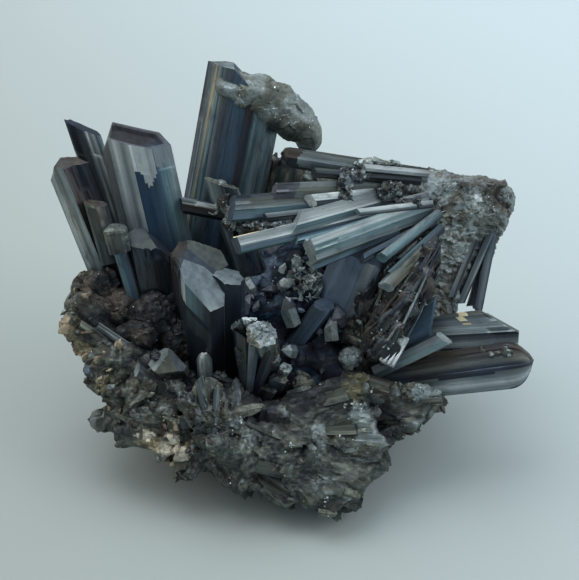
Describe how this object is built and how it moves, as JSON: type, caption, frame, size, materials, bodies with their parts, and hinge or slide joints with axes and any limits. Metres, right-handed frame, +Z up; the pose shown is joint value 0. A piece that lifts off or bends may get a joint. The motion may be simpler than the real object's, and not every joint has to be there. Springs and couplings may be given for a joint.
{
  "type": "stibnite crystal spray",
  "caption": "Cluster of striated metallic stibnite prisms that radiate from a druse-lined hollow in rough massive ore, broken flat beneath so that it rests by itself.",
  "frame": {"origin": "middle of the flat broken underside, on the surface that the specimen rests on", "axes": "+Z up, -Y towards the display face that the crystals point out of, +X to the right as seen from the front"},
  "size_m": [0.0708, 0.0539, 0.0514],
  "materials": {
    "rough_stibnite": "rough, fibrous, broken, dull metallic",
    "blue_prism": "striated, metallic, blue tarnish",
    "dark_prism": "striated, dark metallic",
    "bright_prism": "striated, lead-grey metallic",
    "druse": "small bright crystals, satin metallic"
  },
  "bodies": {
    "root": {"matrix": "rough_stibnite", "broken_ridge": "rough_stibnite", "tall_crystal": "blue_prism", "broad_left_crystal": "blue_prism", "centre_crystal": "blue_prism", "blue_crystal": "blue_prism", "blue_side_crystal": "blue_prism", "blue_blade": "blue_prism", "back_blade": "dark_prism", "dark_column": "dark_prism", "left_back_crystal": "dark_prism", "right_lower_blade": "dark_prism", "crystal_fan": "bright_prism", "far_left_crystal": "bright_prism", "slim_capped_crystal": "bright_prism", "upright_splinter": "bright_prism", "right_upper_blade": "bright_prism", "broken_centre_crystal": "bright_prism", "fibrous_blades": "bright_prism", "rear_tall_crystal": "bright_prism", "rear_slim_crystal": "bright_prism", "rear_side_crystal": "bright_prism", "rear_low_crystal": "bright_prism", "hollow_druse": "druse"}
  },
  "joints": []
}
